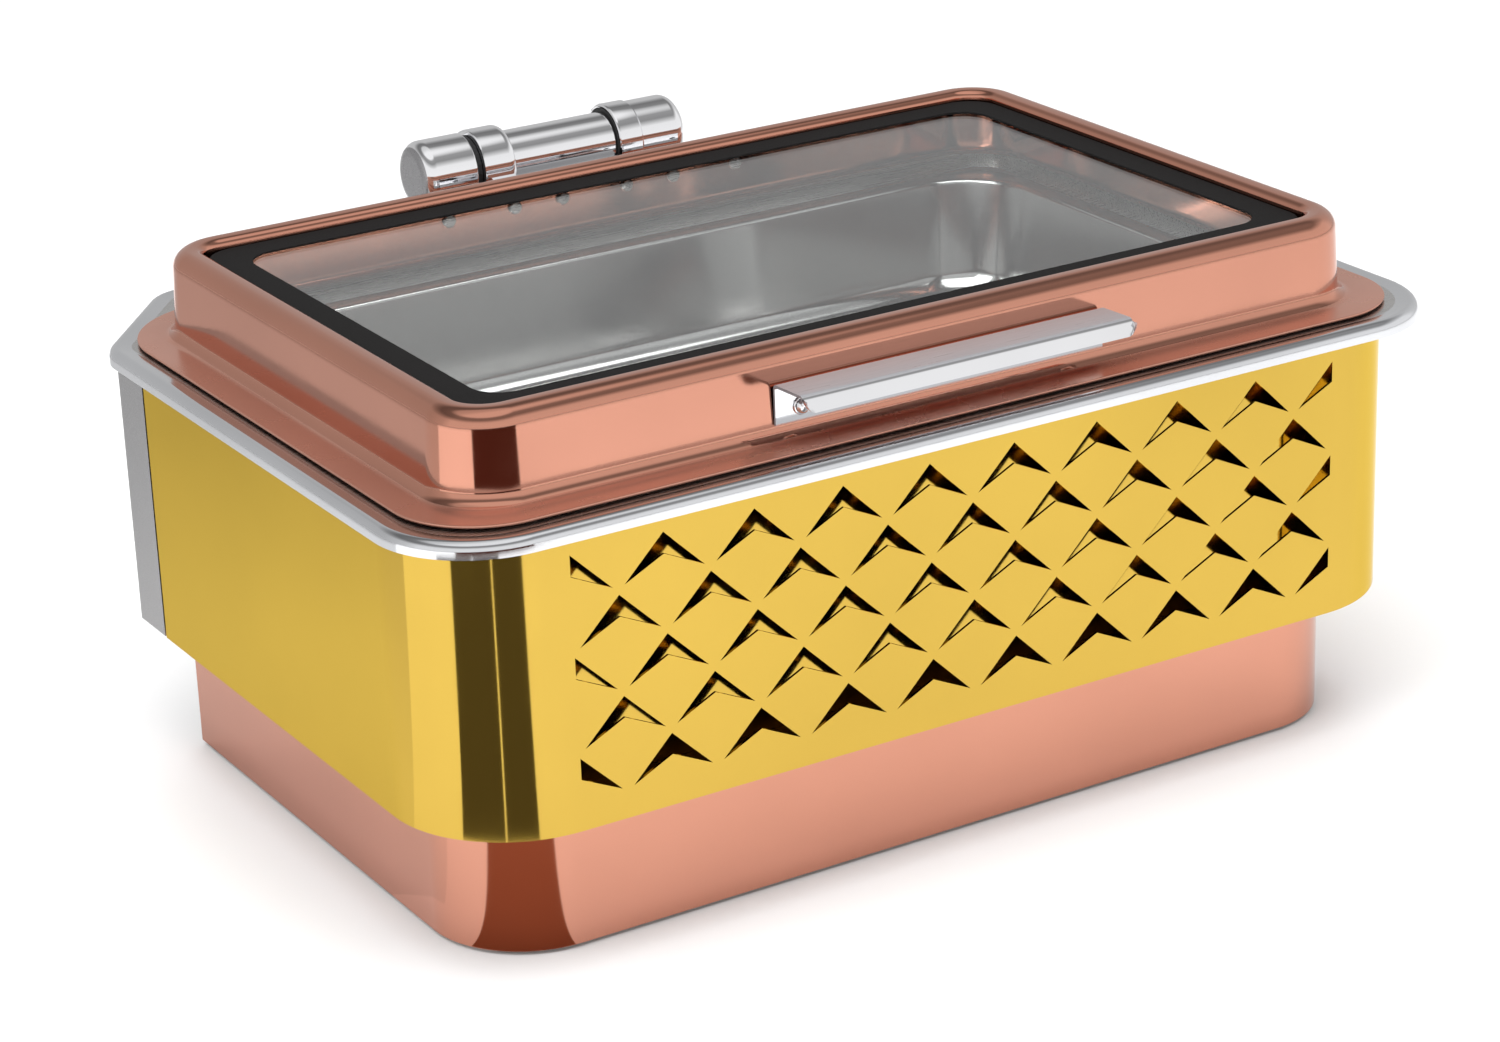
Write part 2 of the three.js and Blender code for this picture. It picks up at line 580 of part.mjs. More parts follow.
function buildLeaf() {
  const wall = PAN_Y + LID.y - LID.wallInset + GAP;
  const back = wall + LEAF.thick;
  const plate = box(-LEAF.half, LEAF.half, wall, back, LEAF.bottom, LEAF.top);
  const web = alongX([[back - 1, LEAF.bottom + 3], [HINGE_Y - 10, HINGE_Z - 19],
    [HINGE_Y, HINGE_Z], [HINGE_Y - 15, HINGE_Z - 1], [back - 1, LEAF.top - 4]], -46, 36);
  const ring = sleeve(HINGE_R, BARREL.tubeR + GAP, -49.5, -29, 'X', 24);
  const clearTube = at(rod(BARREL.tubeR + GAP, -60, 60, 'X', 24), 0, HINGE_Y, HINGE_Z);
  let leaf = plate.add(web).add(at(ring, 0, HINGE_Y, HINGE_Z)).subtract(clearTube);
  for (const x of LEAF_SCREW_X) {
    leaf = leaf.subtract(at(rod(2.3, -1, LEAF.thick + 1, 'Y', 12), x, wall, LEAF_SCREW_Z));
  }
  piece('hinge_leaf', leaf, CHROME, lid);

  const inner = wall - GAP - SHEET - GAP - 0.9;
  LEAF_SCREW_X.forEach((x, i) => {
    const screw = turned([[0, inner - 2], [3, inner - 2], [4, inner - 1], [4, inner], [2, inner],
      [2, back], [0, back]], 'Y', 10);
    piece(`leaf_screw_${i + 1}`, at(screw, x, 0, LEAF_SCREW_Z), CHROME, lid);
  });
}

function buildPedestalScrews() {
  pedestalScrews().forEach(({ x, y }, i) => {
    const seat = RIM.deck - SHEET - GAP;
    const screw = turned([[0, seat - 2.5], [4, seat - 2.5], [4, seat], [2, seat],
      [2, RIM.deck + 6], [0, RIM.deck + 6]], 'Z', 10);
    piece(`pedestal_screw_${i + 1}`, at(screw, x, y, 0), BRUSHED);
  });
}

// ---- fuel cups with swivelling snuffer lids ------------------------------------------------------------
function buildFuelCup(side, x) {
  const floor = FOOT.height + SHEET + GAP;
  const top = floor + CUP.height;
  const { radius, sheet } = CUP;
  const lug = box(-5, 5, radius - 1, CUP.pin + 5, top - 12, top - 9);
  const cup = solid(turned([[0, floor], [radius - 3, floor], [radius, floor + 3], [radius, top],
    [radius - sheet, top], [radius - sheet, floor + 4], [radius - 4, floor + sheet],
    [0, floor + sheet]], 'Z', 28)).add(lug);
  const pinHole = at(rod(2.5, top - 14, top - 6, 'Z', 12), 0, CUP.pin, 0);
  const shift = (manifold) => {
    const geometry = toGeometry(manifold);
    return solid(geometry.translate(x, CUP.y, 0));
  };
  piece(`fuel_cup_${side}`, shift(cup.subtract(pinHole)), BRUSHED);

  const pin = at(turned([[0, top - 13.5], [2.2, top - 13.5], [2.2, top + 3], [4, top + 3],
    [4, top + 5], [0, top + 5]], 'Z', 12), 0, CUP.pin, 0);
  piece(`snuffer_pin_${side}`, shift(pin), BRUSHED);

  const low = top + GAP;
  const knob = [[0, low], [radius + 1.5, low], [radius + 1.5, low + sheet], [3, low + sheet],
    [3, low + 7], [8, low + 9], [8, low + 12], [0, low + 12]];
  const ear = box(-6, 6, radius - 2, CUP.pin + 6, low, low + sheet);
  const earHole = at(rod(2.6, low - 1, low + 3, 'Z', 12), 0, CUP.pin, 0);
  piece(`snuffer_${side}`, shift(solid(turned(knob, 'Z', 28)).add(ear).subtract(earHole)), BRUSHED);
}

buildPlinth();
buildBody();
buildRim();
buildPans();
buildLid();
buildHandle();
buildHingeBarrel();
buildLeaf();
buildPedestalScrews();
buildFuelCup('left', -CUP.x);
buildFuelCup('right', CUP.x);

export default chafer;
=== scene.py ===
# Roll top chafer: fine surfaces, finishes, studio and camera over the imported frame.
import math

import bmesh
import bpy
from mathutils import Matrix, Vector


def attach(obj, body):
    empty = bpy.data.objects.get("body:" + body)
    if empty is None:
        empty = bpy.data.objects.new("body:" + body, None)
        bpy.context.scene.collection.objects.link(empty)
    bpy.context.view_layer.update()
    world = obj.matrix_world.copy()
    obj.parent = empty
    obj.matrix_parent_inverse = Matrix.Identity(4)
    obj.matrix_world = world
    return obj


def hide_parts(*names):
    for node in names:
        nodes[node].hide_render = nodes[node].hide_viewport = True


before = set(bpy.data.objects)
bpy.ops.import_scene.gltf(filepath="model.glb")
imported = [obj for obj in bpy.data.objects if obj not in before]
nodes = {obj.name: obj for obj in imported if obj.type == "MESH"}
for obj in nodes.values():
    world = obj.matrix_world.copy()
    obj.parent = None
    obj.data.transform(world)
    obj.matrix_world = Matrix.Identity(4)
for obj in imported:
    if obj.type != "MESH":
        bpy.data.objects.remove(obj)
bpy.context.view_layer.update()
MM = 0.001

# ---- driving dimensions in millimetres -----------------------------------------------------------
# They follow the CAD part's, apart from the lid's fillet, which is 5 there.
SHEET = 1.5
GAP = 0.3
CORNER = 22                      # facets round a right-angled corner

PLINTH = dict(x=275, front=-197.2, rear=141.4, corner=55, bottom=2.5, top=79.7, mouth=263)
SKIRT = dict(x=299, front=-224.5, rear=120, corner=68, bottom=78, top=238.2)
WALL_BEYOND = 60                 # how far past its open back a folded wall's outline closes
WALL_SQUARE = 2                  # radius of the corners there, which are left out of the wall
LATTICE = dict(pitch=51.25, row=26.4, top=222.1, rows=5, even=8, odd=9, half=22.4, drop=22,
               notch=11.3)
RIM = dict(x=310, front=-235.5, side_y=142.3, rear_x=247.4, rear_y=218.5, front_corner=56,
           side_corner=34, rear_corner=28, corner_steps=12, bottom=232.9, shoulder=236.3, bead=5,
           deck=240.3, deck_inset=12)
PAN_Y = -20.25
WELL = dict(x=281, y=182, corner=30, ledge=232.2, ledge_width=19)
WATER = dict(x=269.5, y=169.5, inset=11.5, top=233.7, bottom=137.8, sheet=1.2, lip=1.2,
             lean=8, round=16, corner=25, wall_corner=34)
FOOD = dict(x=265, y=162.5, inset=12.5, top=238.2, bottom=172.2, sheet=1, lip=4.2,
            lean=8.5, round=14, corner=18, wall_corner=42)
PAN_BEND = 2.5                   # radius between a pan's flange and its wall
LID = dict(x=295.5, y=199.25, corner=48, rear_corner=60, flange=243, inset=22, wall_corner=34,
           fillet=7, lean=1.5, shoulder=9.5, crest=289.5, ledge=279.5, hole=41)
GLASS = dict(inset=46.5, bottom=279.8, top=282.8, corner=18.9)
BORDER = dict(inset=41.4, inner=59.5, top=284.3, corner=19.8, inner_corner=17.7)
HANDLE = dict(half=99, bottom=250.6, top=271.5, reach=26.5, rise=1.3, lip=8, lip_out=3.2, turn=7)
HANDLE_SCREW = (84, 258.5)
LIP_STEPS = (6, 4.5, 3, 2, 1, 0)  # heights along the lip, from its lower edge
HINGE_R = 21.5
HINGE_Y = 214
HINGE_Z = 278.5
BARREL = dict(half=86.6, knuckle=53.5, ring_end=55.2, r=20.5, dome=8, tube=17, bore=14, eye=6.3)
LEAF = dict(half=102, bottom=255.5, top=277, thick=4)
WEB_X = (-46, 36)
MIDDLE_SCREW_X = 21
LEAF_SCREW_X = (-94, -52, -MIDDLE_SCREW_X, MIDDLE_SCREW_X, 52, 94)
LEAF_SCREW_Z = 266.5
CUP = dict(x=135, y=-25, r=46, floor=4.3, top=54.3, pin=52)


# ---- finishes ------------------------------------------------------------------------------------
def srgb(r, g, b):
    def linear(c):
        c /= 255
        return c / 12.92 if c < 0.04045 else ((c + 0.055) / 1.055) ** 2.4
    return (linear(r), linear(g), linear(b), 1)


def color_ramp(tree, value, stops):
    """Output of a colour ramp over value, with (position, colour) stops."""
    ramp = tree.nodes.new("ShaderNodeValToRGB")
    elements = ramp.color_ramp.elements
    while len(elements) < len(stops):
        elements.new(0.5)
    for element, (position, color) in zip(elements, stops):
        element.position = position
        element.color = color
    tree.links.new(value, ramp.inputs["Fac"])
    return ramp.outputs["Color"]


class Finish:
    """A Principled material with small helpers for its procedural detail."""

    def __init__(self, name, color, roughness, metallic, **sockets):
        self.mat = bpy.data.materials.new(name)
        self.mat.use_nodes = True
        self.tree = self.mat.node_tree
        self.shader = self.tree.nodes["Principled BSDF"]
        self.shader.inputs["Base Color"].default_value = color
        self.shader.inputs["Roughness"].default_value = roughness
        self.shader.inputs["Metallic"].default_value = metallic
        for key, value in sockets.items():
            self.shader.inputs[key.replace("_", " ")].default_value = value
        coords = self.tree.nodes.new("ShaderNodeTexCoord")
        self.coords = coords.outputs["Object"]
        self.normal = None

    def noise(self, scale, stretch=(1, 1, 1), detail=3.0, roughness=0.5):
        mapping = self.tree.nodes.new("ShaderNodeMapping")
        mapping.inputs["Scale"].default_value = stretch
        self.tree.links.new(self.coords, mapping.inputs["Vector"])
        noise = self.tree.nodes.new("ShaderNodeTexNoise")
        noise.inputs["Scale"].default_value = scale
        noise.inputs["Detail"].default_value = detail
        noise.inputs["Roughness"].default_value = roughness
        self.tree.links.new(mapping.outputs["Vector"], noise.inputs["Vector"])
        return noise.outputs["Fac"]

    def color_from(self, value, stops):
        ramp = color_ramp(self.tree, value, stops)
        self.tree.links.new(ramp, self.shader.inputs["Base Color"])

    def roughness_from(self, value, low, high):
        ramp = color_ramp(self.tree, value, [(0.3, grey(low)), (0.75, grey(high))])
        self.tree.links.new(ramp, self.shader.inputs["Roughness"])

    def bump(self, value, strength, distance):
        bump = self.tree.nodes.new("ShaderNodeBump")
        bump.inputs["Strength"].default_value = strength
        bump.inputs["Distance"].default_value = distance
        self.tree.links.new(value, bump.inputs["Height"])
        if self.normal is not None:
            self.tree.links.new(self.normal, bump.inputs["Normal"])
        self.normal = bump.outputs["Normal"]
        self.tree.links.new(self.normal, self.shader.inputs["Normal"])


def grey(level):
    return (level, level, level, 1)


def shade(color, factor):
    return tuple(min(c * factor, 1) for c in color[:3]) + (1,)


def polished_sheet(name, color, rough, wave, grain=(1, 1, 60), metallic=1, edge=(1, 1, 1, 1)):
    """Bright sheet: faint buffing lines, uneven polish and slight waviness of the metal.

    edge tints what the metal reflects at a grazing angle."""
    f = Finish(name, color, rough, metallic)
    smudge = f.noise(7, detail=4)
    f.color_from(smudge, [(0.3, shade(color, 0.95)), (0.7, shade(color, 1.03))])
    f.roughness_from(f.noise(26, detail=5), rough * 0.8, rough * 1.35)
    f.bump(f.noise(3.2, detail=1), wave, 0.0012)
    f.bump(f.noise(60, stretch=grain, detail=2), 0.006, 0.0004)
    f.shader.inputs["Specular Tint"].default_value = edge
    return f.mat


def brushed_sheet(name, color, rough, grain=(1, 40, 40), metallic=1):
    """Sheet with a fine grain along one axis. Below 1, metallic adds the haze of a dull surface."""
    f = Finish(name, color, rough, metallic)
    lines = f.noise(55, stretch=grain, detail=4)
    f.color_from(lines, [(0.25, shade(color, 0.9)), (0.75, shade(color, 1.06))])
    f.roughness_from(f.noise(30, stretch=grain, detail=3), rough * 0.8, rough * 1.3)
    f.bump(lines, 0.05, 0.0003)
    return f.mat


def matte(name, color, rough, speckle):
    f = Finish(name, color, rough, 0, Specular_IOR_Level=0.2)
    fine = f.noise(900, detail=2)
    f.color_from(fine, [(0.35, shade(color, 0.7)), (0.72, shade(color, speckle))])
    f.roughness_from(fine, rough * 0.85, min(rough * 1.15, 1))
    f.bump(fine, 0.15, 0.0002)
    return f.mat


def clear_glass(name):
    f = Finish(name, (0.9, 0.92, 0.92, 1), 0.0, 0, IOR=1.45)
    f.shader.inputs["Transmission Weight"].default_value = 1
    f.roughness_from(f.noise(14, detail=3), 0.0, 0.015)
    f.bump(f.noise(2, detail=1), 0.01, 0.0005)
    return f.mat


GOLD = polished_sheet("gold_sheet", srgb(203, 169, 76), 0.07, 0.05, edge=(1, 0.9, 0.55, 1))
ROSE = polished_sheet("rose_gold_sheet", srgb(207, 146, 124), 0.10, 0.05)
ROSE_SATIN = polished_sheet("rose_gold_satin", srgb(206, 150, 130), 0.26, 0.04, metallic=0.82)
HOOD_SATIN = brushed_sheet("hood_satin", srgb(168, 168, 172), 0.34, metallic=0.5)
END_SATIN = brushed_sheet("end_satin", srgb(168, 167, 169), 0.3)
REAR_SATIN = brushed_sheet("rear_satin", srgb(172, 171, 172), 0.32)
STEEL = polished_sheet("polished_steel", srgb(222, 223, 226), 0.10, 0.04)
SATIN = brushed_sheet("satin_steel", srgb(205, 203, 201), 0.28)
PAN_STEEL = polished_sheet("pan_steel", srgb(214, 213, 211), 0.11, 0.12)
CHROME = polished_sheet("hinge_chrome", srgb(242, 242, 244), 0.06, 0.06)
DARK_STEEL = brushed_sheet("inner_steel", srgb(150, 148, 146), 0.35, grain=(40, 1, 40))
SEAL = matte("seal_black", srgb(20, 19, 19), 0.9, 1.9)
RUBBER = matte("foot_rubber", srgb(26, 26, 26), 0.85, 1.5)
PLASTIC = matte("bush_plastic", srgb(40, 40, 41), 0.5, 1.3)
GLASS_MAT = clear_glass("clear_glass")


# ---- mesh helpers --------------------------------------------------------------------------------
def arc(cx, cy, r, a0, a1, steps):
    points = []
    for i in range(steps + 1):
        a = math.radians(a0 + (a1 - a0) * i / steps)
        points.append((cx + r * math.cos(a), cy + r * math.sin(a)))
    return points


def outline(corners, inset, radius=None):
    """Rounded convex outline, counter-clockwise, with every side moved in by inset."""
    count = len(corners)
    sides = []
    for i, (ax, ay, _, _) in enumerate(corners):
        bx, by = corners[(i + 1) % count][:2]
        length = math.hypot(bx - ax, by - ay)
        dx, dy = (bx - ax) / length, (by - ay) / length
        sides.append((dx, dy, ax - dy * inset, ay + dx * inset))
    points = []
    for i, corner in enumerate(corners):
        fx, fy, px, py = sides[i - 1]
        tx, ty, qx, qy = sides[i]
        cross = fx * ty - fy * tx
        along = ((qx - px) * ty - (qy - py) * tx) / cross
        vx, vy = px + fx * along, py + fy * along
        turn = math.atan2(cross, fx * tx + fy * ty)
        r = radius(inset, corner[2]) if radius else max(corner[2] - inset, 1)
        t = r * math.tan(turn / 2)
        cx, cy = vx - fx * t - fy * r, vy - fy * t + fx * r
        start = math.degrees(math.atan2(-fx, fy))
        points += arc(cx, cy, r, start, start + math.degrees(turn), corner[3])
    return points


def rectangle(x, y0, y1, r, rear=None, steps=CORNER):
    rear = r if rear is None else rear
    return [(-x, y0, r, steps), (x, y0, r, steps), (x, y1, rear, steps), (-x, y1, rear, steps)]


def rings(corners, profile, radius=None):
    return [[(x, y, z) for x, y in outline(corners, inset, radius)] for inset, z in profile]


def finish_mesh(mesh, angle=32):
    """Smooth shading with edges sharper than angle kept crisp."""
    bm = bmesh.new()
    bm.from_mesh(mesh)
    bmesh.ops.remove_doubles(bm, verts=bm.verts, dist=1e-6)
    bmesh.ops.recalc_face_normals(bm, faces=bm.faces)
    for face in bm.faces:
        face.smooth = True
    for edge in bm.edges:
        if len(edge.link_faces) == 2:
            edge.smooth = edge.calc_face_angle() < math.radians(angle)
    bm.to_mesh(mesh)
    bm.free()


def place(name, verts, faces, material, body, *replaced, angle=32):
    mesh = bpy.data.meshes.new(name)
    mesh.from_pydata([tuple(c * MM for c in v) for v in verts], [], faces)
    finish_mesh(mesh, angle)
    obj = bpy.data.objects.new(name, mesh)
    bpy.context.scene.collection.objects.link(obj)
    obj.data.materials.append(material)
    weighted = obj.modifiers.new("weighted", "WEIGHTED_NORMAL")
    weighted.keep_sharp = True
    weighted.weight = 100
    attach(obj, body)
    if replaced:
        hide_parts(*replaced)
    return obj


def refinish(obj, material, chosen):
    """Gives a second finish to the faces whose middle, in millimetres, is chosen."""
    obj.data.materials.append(material)
    for face in obj.data.polygons:
        if chosen(face.center / MM):
            face.material_index = 1


def skin(stack, hoop=False):
    """Vertices and faces through equal-length rings, capped at both ends or joined in a hoop."""
    size = len(stack[0])
    verts = [v for ring in stack for v in ring]
    faces = []
    for j in range(len(stack) if hoop else len(stack) - 1):
        low, high = j * size, ((j + 1) % len(stack)) * size
        for i in range(size):
            k = (i + 1) % size
            faces.append((low + i, low + k, high + k, high + i))
    if not hoop:
        faces.append(tuple(reversed(range(size))))
        last = (len(stack) - 1) * size
        faces.append(tuple(last + i for i in range(size)))
    return verts, faces


def turned(profile, axis, centre, steps=64):
    """Vertices and faces of a turned piece. Profile points on the axis have radius 0."""
    verts, faces, loops = [], [], []
    for r, h in profile:
        if r == 0:
            loops.append([len(verts)])
            verts.append((0, 0, h))
        else:
            loops.append(list(range(len(verts), len(verts) + steps)))
            for i in range(steps):
                a = 2 * math.pi * i / steps
                verts.append((r * math.cos(a), r * math.sin(a), h))
    closed = profile[0][0] != 0
    pairs = list(zip(loops, loops[1:] + loops[:1] if closed else loops[1:]))
    for a, b in pairs:
        for i in range(steps):
            k = (i + 1) % steps
            quad = [a[i % len(a)], a[k % len(a)], b[k % len(b)], b[i % len(b)]]
            face = list(dict.fromkeys(quad))
            if len(face) > 2:
                faces.append(tuple(face))
    turn = {"X": Matrix.Rotation(math.pi / 2, 3, "Y"),
            "Y": Matrix.Rotation(-math.pi / 2, 3, "X"),
            "Z": Matrix.Identity(3)}[axis]
    moved = [tuple(turn @ Vector(v) + Vector(centre)) for v in verts]
    return moved, faces


def join(*parts):
    verts, faces = [], []
    for part_verts, part_faces in parts:
        shift = len(verts)
        verts += part_verts
        faces += [tuple(i + shift for i in face) for face in part_faces]
    return verts, faces


def prism_x(section, x0, x1):
    """A (y, z) outline pushed along X."""
    return skin([[(x, y, z) for y, z in section] for x in (x0, x1)])


def cut(obj, verts, faces):
    """Cuts the given closed shape out of obj for good."""
    mesh = bpy.data.meshes.new("cutter")
    mesh.from_pydata([tuple(c * MM for c in v) for v in verts], [], faces)
    bm = bmesh.new()
    bm.from_mesh(mesh)
    bmesh.ops.recalc_face_normals(bm, faces=bm.faces)
    bm.to_mesh(mesh)
    bm.free()
    tool = bpy.data.objects.new("cutter", mesh)
    bpy.context.scene.collection.objects.link(tool)
    modifier = obj.modifiers.new("cut", "BOOLEAN")
    modifier.object = tool
    modifier.solver = "EXACT"
    obj.modifiers.move(len(obj.modifiers) - 1, 0)
    with bpy.context.temp_override(object=obj, active_object=obj, selected_objects=[obj]):
        bpy.ops.object.modifier_apply(modifier="cut")
    bpy.data.objects.remove(tool)
    finish_mesh(obj.data)


# ---- plinth and body -----------------------------------------------------------------------------
def u_wall(shape, rear, bottom, top, lip=0):
    """A folded wall open at the back: down one side, round the front and up the other side."""
    outer, inner = outline(shape, 0), outline(shape, SHEET)
    size = len(outer)
    start = 2 * (CORNER + 1)
    order = [(i + start) % size for i in range(size)]
    keep = [i for i in order if outer[i][1] < rear]
    left = [i for i in keep if outer[i][0] < 0]
    right = [i for i in keep if outer[i][0] >= 0]
    path = left + right
    x = shape[1][0]
    ends = [((-x, rear), (-x + SHEET, rear))] + [(outer[i], inner[i]) for i in path]
    ends.append(((x, rear), (x - SHEET, rear)))
    if lip:
        y = rear - SHEET
        ends[0] = ((-x, rear), (-x + SHEET, y))
        ends[-1] = ((x, rear), (x - SHEET, y))
        ends = [((-x + lip, rear), (-x + lip, y))] + ends + [((x - lip, rear), (x - lip, y))]
    verts = []
    for (ox, oy), (ix, iy) in ends:
        verts += [(ox, oy, bottom), (ox, oy, top), (ix, iy, top), (ix, iy, bottom)]
    faces = []
    for j in range(len(ends) - 1):
        for k in range(4):
            n = (k + 1) % 4
            faces.append((4 * j + k, 4 * j + n, 4 * j + 4 + n, 4 * j + 4 + k))
    last = 4 * (len(ends) - 1)
    faces += [(3, 2, 1, 0), (last, last + 1, last + 2, last + 3)]
    return verts, faces


def open_box(spec):
    return rectangle(spec["x"], spec["front"], spec["rear"] + WALL_BEYOND, spec["corner"], WALL_SQUARE)


wall = u_wall(open_box(PLINTH), PLINTH["rear"], PLINTH["bottom"], PLINTH["top"],
              lip=PLINTH["x"] - PLINTH["mouth"])
place("plinth_wall", *wall, ROSE, "stand", "plinth_skirt")

wall = u_wall(open_box(SKIRT), SKIRT["rear"], SKIRT["bottom"], SKIRT["top"])
body = place("body_wall", *wall, GOLD, "stand", "body_skirt")


def arrowhead(x, z, side):
    """One lattice opening, or the half of it on one side of its middle line."""
    points = [(x, z)]
    if side <= 0:
        points.append((x - LATTICE["half"], z - LATTICE["drop"]))
    points.append((x, z - LATTICE["notch"]))
    if side >= 0:
        points.append((x + LATTICE["half"], z - LATTICE["drop"]))
    front, back = SKIRT["front"] - 2, SKIRT["front"] + SHEET + 2
    return skin([[(px, y, pz) for px, pz in points] for y in (front, back)])


openings = []
for row in range(LATTICE["rows"]):
    z = LATTICE["top"] - row * LATTICE["row"]
    count = LATTICE["odd"] if row % 2 else LATTICE["even"]
    for i in range(count):
        openings.append(arrowhead((i - (count - 1) / 2) * LATTICE["pitch"], z, 0))
    if row % 2 == 0:
        edge = (count + 1) / 2 * LATTICE["pitch"]
        openings += [arrowhead(-edge, z, 1), arrowhead(edge, z, -1)]
cut(body, *join(*openings))


# ---- rim frame -----------------------------------------------------------------------------------
def rim_corners():
    """The rim's corners: two rounded ones in front, and a rounded chamfer at each rear corner."""
    x, front, side_y = RIM["x"], RIM["front"], RIM["side_y"]
    rear_x, rear_y, steps = RIM["rear_x"], RIM["rear_y"], RIM["corner_steps"]
    near, side, rear = RIM["front_corner"], RIM["side_corner"], RIM["rear_corner"]
    return [(-x, front, near, CORNER), (x, front, near, CORNER), (x, side_y, side, steps),
            (rear_x, rear_y, rear, steps), (-rear_x, rear_y, rear, steps), (-x, side_y, side, steps)]


def rim_half():
    """The rim's skirt, rounded edge and deck as far in as the lid hides, then the underside."""
    bead, shoulder = RIM["bead"], RIM["shoulder"]
    over = arc(bead, shoulder, bead, 180, 80, 10)
    under = arc(bead, shoulder, bead - SHEET, 180, 80, 10)
    deck, inset = RIM["deck"], RIM["deck_inset"]
    top = [(0, RIM["bottom"])] + over + [(inset, deck), (inset + 0.5, deck)]
    low = [(SHEET, RIM["bottom"])] + under + [(inset, deck - SHEET), (inset + 0.5, deck - SHEET)]
    return top + low[::-1]


def plate_with_hole(outer, hole, z0, z1):
    """Two flat faces and the walls of a plate between an outline and a hole."""
    bm = bmesh.new()
    for z in (z0, z1):
        edges = []
        for loop in (outer, hole):
            verts = [bm.verts.new((x, y, z)) for x, y in loop]
            edges += [bm.edges.new((verts[i], verts[(i + 1) % len(verts)]))
                      for i in range(len(verts))]
        bmesh.ops.triangle_fill(bm, use_beauty=True, edges=edges)
    bm.verts.ensure_lookup_table()
    size = len(outer) + len(hole)
    for start, count in ((0, len(outer)), (len(outer), len(hole))):
        for i in range(count):
            a, b = start + i, start + (i + 1) % count
            bm.faces.new([bm.verts[j] for j in (a, b, b + size, a + size)])
    bm.verts.index_update()
    verts = [tuple(v.co) for v in bm.verts]
    faces = [tuple(v.index for v in face.verts) for face in bm.faces]
    bm.free()
    return verts, faces


edge = skin(rings(rim_corners(), rim_half()), hoop=True)
well = rectangle(WELL["x"], PAN_Y - WELL["y"], PAN_Y + WELL["y"], WELL["corner"])
plate = plate_with_hole(outline(rim_corners(), RIM["deck_inset"] + 0.5), outline(well, 0),
                        RIM["deck"] - SHEET, RIM["deck"])
step = skin(rings(well, [
    (-SHEET, WELL["ledge"] - SHEET), (-SHEET, RIM["deck"] - SHEET), (0, RIM["deck"] - 0.8),
    (0, WELL["ledge"]), (WELL["ledge_width"], WELL["ledge"]),
    (WELL["ledge_width"], WELL["ledge"] - SHEET)]), hoop=True)
place("rim", *edge, STEEL, "stand", "rim_frame")
place("rim_deck", *join(plate, step), SATIN, "stand")


# ---- pans ----------------------------------------------------------------------------------------
def pan(name, spec, node, body, material):
    """A drawn pan: leaning walls, a rounded bottom and a flange, with its edge turned down by lip."""
    inset, top, bottom, sheet = spec["inset"], spec["top"], spec["bottom"], spec["sheet"]
    foot, bend = inset + spec["lean"], spec["round"]
    low = bottom + bend
    outside = arc(foot - sheet + bend, low, bend, 270, 180, 8)
    inside = arc(foot + bend - sheet, low, bend - sheet, 180, 270, 8)
    hem = [(sheet, top - sheet), (sheet, top - spec["lip"])] if spec["lip"] > sheet else []
    profile = outside + [(inset - sheet, top - sheet - PAN_BEND), (inset - sheet - 1.5, top - sheet)]
    profile += hem + [(0, top - spec["lip"]), (0, top - 0.6), (0.2, top - 0.2), (0.6, top)]
    profile += arc(inset - PAN_BEND, top - PAN_BEND, PAN_BEND, 90, 0, 4) + inside
    corner, wall_corner = spec["corner"], spec["wall_corner"]

    def radius(at, _):
        return corner if at < 2 else wall_corner - max(at - inset, 0) * 0.4

    corners = rectangle(spec["x"], PAN_Y - spec["y"], PAN_Y + spec["y"], corner)
    place(name, *skin(rings(corners, profile, radius)), material, body, node)


pan("water_tray", WATER, "water_pan", "water_pan_unit", PAN_STEEL)
pan("food_tray", FOOD, "food_pan", "food_pan_unit", PAN_STEEL)


# ---- lid -----------------------------------------------------------------------------------------
def lid_radius(inset, corner):
    """Corner radius of the lid: from the flange's to the wall's, then shrinking towards the glass."""
    share = min(inset / LID["inset"], 1)
    beyond = max(inset - LID["inset"], 0)
    return max(corner + (LID["wall_corner"] - corner) * share - beyond, 8)


def lid_section(offset):
    """One face of the lid's sheet, as (inset, height) points from the flange's edge to the ledge."""
    fillet, shoulder = LID["fillet"], LID["shoulder"]
    top, inset, crest = LID["flange"], LID["inset"], LID["crest"]
    at, hole, ledge = inset + LID["lean"] + shoulder, LID["hole"], LID["ledge"]
    edge = [(0, top - 0.75), (0.2, top - 0.2), (0.75, top)] if offset == 0 else [(0.4, top - offset)]
    return (edge
            + arc(inset - fillet, top + fillet, fillet + offset, 270, 360, 10)
            + arc(at, crest - shoulder, shoulder - offset, 180, 90, 12)
            + [(hole - 4.5 - offset, crest - 0.15 - offset), (hole - 2.6 - offset, crest - 0.8 - offset),
               (hole - 1.1 - offset, crest - 2.2 - offset), (hole - 0.4 - offset, crest - 3.8 - offset),
               (hole - offset, ledge - offset), (hole + 9, ledge - offset)])


def lid_corners(r, rear=None):
    return rectangle(LID["x"], PAN_Y - LID["y"], PAN_Y + LID["y"], r, rear)


section = lid_section(0) + lid_section(SHEET)[::-1]
shell = skin(rings(lid_corners(LID["corner"], LID["rear_corner"]), section, lid_radius), hoop=True)
dome = place("lid_dome", *shell, ROSE, "lid_unit", "lid_shell")
refinish(dome, ROSE_SATIN, lambda middle: middle.z < LID["flange"] + 1)

bottom, top, inset = GLASS["bottom"], GLASS["top"], GLASS["inset"]
pane = rings(lid_corners(0), [(inset, bottom), (inset, top)], lambda _, r: GLASS["corner"])
place("lid_window", *skin(pane), GLASS_MAT, "lid_unit", "window_glass")

